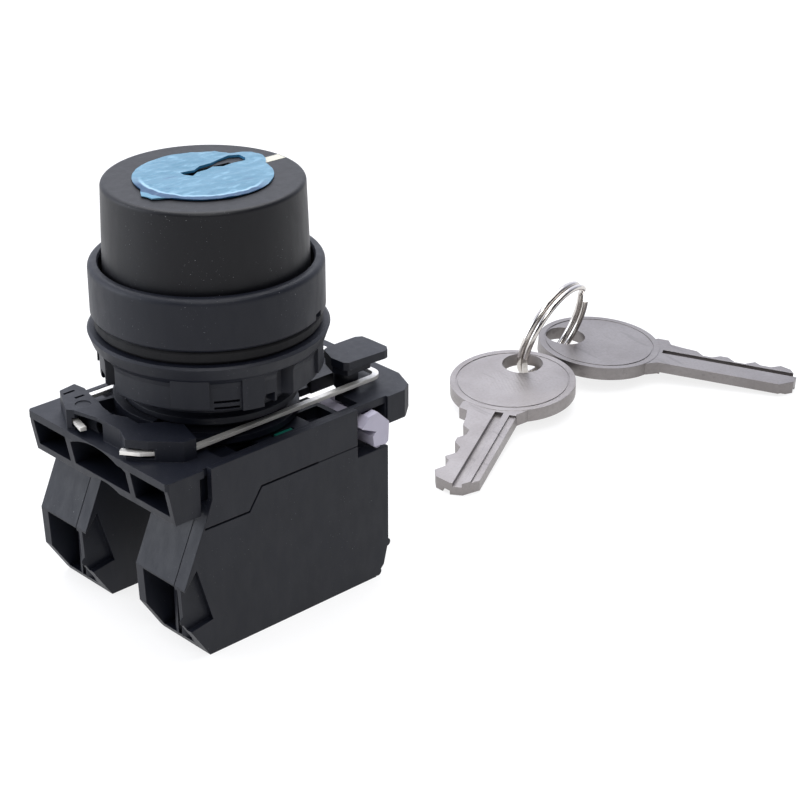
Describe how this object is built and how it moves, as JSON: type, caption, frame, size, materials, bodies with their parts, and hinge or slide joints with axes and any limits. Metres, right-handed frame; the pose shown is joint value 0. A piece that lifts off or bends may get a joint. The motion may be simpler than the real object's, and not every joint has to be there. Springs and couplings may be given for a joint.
{
  "type": "selector key switch",
  "caption": "Panel-mount selector key switch with a black round head, ring nut, clip-on collar, contact blocks and loose keys on a split ring.",
  "frame": {"origin": "on the switch axis at the underside of the bezel, where the gasket meets it", "axes": "+Z out of the panel along the switch axis, +X along the contact blocks towards the locking lever, +Y from the near block to the far block"},
  "size_m": [0.12, 0.0368, 0.0552],
  "materials": {
    "black_plastic": "fine matte moulded texture, faint grey sheen",
    "knob_plastic": "fine matte moulded texture",
    "gasket_rubber": "matte",
    "pointer_cream": "satin",
    "blue_film": "thin protective film, satin with creases",
    "lock_steel": "satin",
    "lock_body_metal": "die-cast",
    "wafer_brass": "stamped",
    "white_nylon": "satin",
    "green_plastic": "satin",
    "latch_grey": "satin",
    "clip_steel": "bright spring steel",
    "contact_copper": "copper alloy",
    "terminal_steel": "zinc plated",
    "key_nickel": "satin nickel",
    "ring_nickel": "polished nickel"
  },
  "bodies": {
    "switch_body": {"bezel_ring": "black_plastic", "threaded_barrel": "black_plastic", "gasket": "gasket_rubber", "lock_cylinder": "lock_body_metal", "pusher_guide": "white_nylon", "collar_base": "black_plastic", "wire_clip": "clip_steel", "near_housing": "black_plastic", "near_cover": "black_plastic", "near_contact_front": "contact_copper", "near_contact_rear": "contact_copper", "near_clamp_front": "terminal_steel", "near_clamp_rear": "terminal_steel", "near_spring": "clip_steel", "far_housing": "black_plastic", "far_cover": "black_plastic", "far_contact_front": "contact_copper", "far_contact_rear": "contact_copper", "far_clamp_front": "terminal_steel", "far_clamp_rear": "terminal_steel", "far_spring": "clip_steel"},
    "key_rotor": {"knob": "knob_plastic", "pointer_mark": "pointer_cream", "lock_film": "blue_film", "lock_plug": "lock_steel", "cam_rotor": "white_nylon", "wafer_1": "wafer_brass", "wafer_2": "wafer_brass", "wafer_3": "wafer_brass", "wafer_4": "wafer_brass", "wafer_5": "wafer_brass"},
    "near_pusher": {"pusher_near": "white_nylon"},
    "far_pusher": {"pusher_far": "white_nylon"},
    "ring_nut": {"ring_nut": "black_plastic"},
    "lock_lever": {"lock_lever": "black_plastic"},
    "near_plunger": {"near_plunger": "green_plastic", "near_bridge": "contact_copper"},
    "near_screw_front": {"near_screw_front": "terminal_steel"},
    "near_screw_rear": {"near_screw_rear": "terminal_steel"},
    "near_latch": {"near_latch": "latch_grey"},
    "far_plunger": {"far_plunger": "green_plastic", "far_bridge": "contact_copper"},
    "far_screw_front": {"far_screw_front": "terminal_steel"},
    "far_screw_rear": {"far_screw_rear": "terminal_steel"},
    "far_latch": {"far_latch": "latch_grey"},
    "split_ring": {"split_ring": "ring_nickel"},
    "key_one": {"key_one": "key_nickel"},
    "key_two": {"key_two": "key_nickel"}
  },
  "joints": [
    {"name": "key_turn", "type": "hinge", "parent": "switch_body", "child": "key_rotor", "pos_m": [0, 0, 0.01], "axis": [0, 0, -1], "range_deg": [0, 90]},
    {"name": "near_push", "type": "slide", "parent": "switch_body", "child": "near_pusher", "axis": [0, 0, -1], "range_m": [0, 0.002]},
    {"name": "near_plunge", "type": "slide", "parent": "switch_body", "child": "near_plunger", "axis": [0, 0, -1], "range_m": [0, 0.002], "deforming": ["near_spring"]},
    {"name": "far_push", "type": "slide", "parent": "switch_body", "child": "far_pusher", "axis": [0, 0, -1], "range_m": [0, 0.002]},
    {"name": "far_plunge", "type": "slide", "parent": "switch_body", "child": "far_plunger", "axis": [0, 0, -1], "range_m": [0, 0.002], "deforming": ["far_spring"]},
    {"name": "nut_turn", "type": "hinge", "parent": "switch_body", "child": "ring_nut", "pos_m": [0, 0, -0.005], "axis": [0, 0, 1], "continuous": true},
    {"name": "lever_turn", "type": "hinge", "parent": "switch_body", "child": "lock_lever", "pos_m": [0.0156, -0.0078, -0.0095], "axis": [0, 0, -1], "range_deg": [0, 70]},
    {"name": "near_front_screw", "type": "hinge", "parent": "switch_body", "child": "near_screw_front", "pos_m": [-0.01155, -0.0099, -0.029], "axis": [0, 0, 1], "continuous": true},
    {"name": "near_rear_screw", "type": "hinge", "parent": "switch_body", "child": "near_screw_rear", "pos_m": [0.01155, -0.0099, -0.029], "axis": [0, 0, 1], "continuous": true},
    {"name": "near_latch_swing", "type": "hinge", "parent": "switch_body", "child": "near_latch", "pos_m": [0.0149, -0.01, -0.0188], "axis": [0, -1, 0], "range_deg": [0, 8], "stiffness_Nm_per_rad": 0.002},
    {"name": "far_front_screw", "type": "hinge", "parent": "switch_body", "child": "far_screw_front", "pos_m": [-0.01155, 0.0101, -0.029], "axis": [0, 0, 1], "continuous": true},
    {"name": "far_rear_screw", "type": "hinge", "parent": "switch_body", "child": "far_screw_rear", "pos_m": [0.01155, 0.0101, -0.029], "axis": [0, 0, 1], "continuous": true},
    {"name": "far_latch_swing", "type": "hinge", "parent": "switch_body", "child": "far_latch", "pos_m": [0.0149, 0.01, -0.0188], "axis": [0, -1, 0], "range_deg": [0, 8], "stiffness_Nm_per_rad": 0.002},
    {"name": "ring_lift", "type": "slide", "parent": "switch_body", "child": "split_ring", "axis": [0, 0, 1], "range_m": [0, 0.08]},
    {"name": "key_one_swing", "type": "hinge", "parent": "split_ring", "child": "key_one", "pos_m": [0.06924, 0.01169, -0.0344], "axis": [-0.0631, -0.0335, 0.9974], "range_deg": [-6, 6]},
    {"name": "key_two_swing", "type": "hinge", "parent": "split_ring", "child": "key_two", "pos_m": [0.08156, 0.01431, -0.0344], "axis": [0.0365, -0.0614, 0.9974], "range_deg": [-6, 6]}
  ],
  "couplings": [
    {"joint": "near_push", "follows": "key_turn", "m_per_rad": 0.0012732},
    {"joint": "near_plunge", "follows": "key_turn", "m_per_rad": 0.0012732},
    {"joint": "far_push", "follows": "key_turn", "m_per_rad": 0.0012732},
    {"joint": "far_plunge", "follows": "key_turn", "m_per_rad": 0.0012732}
  ]
}
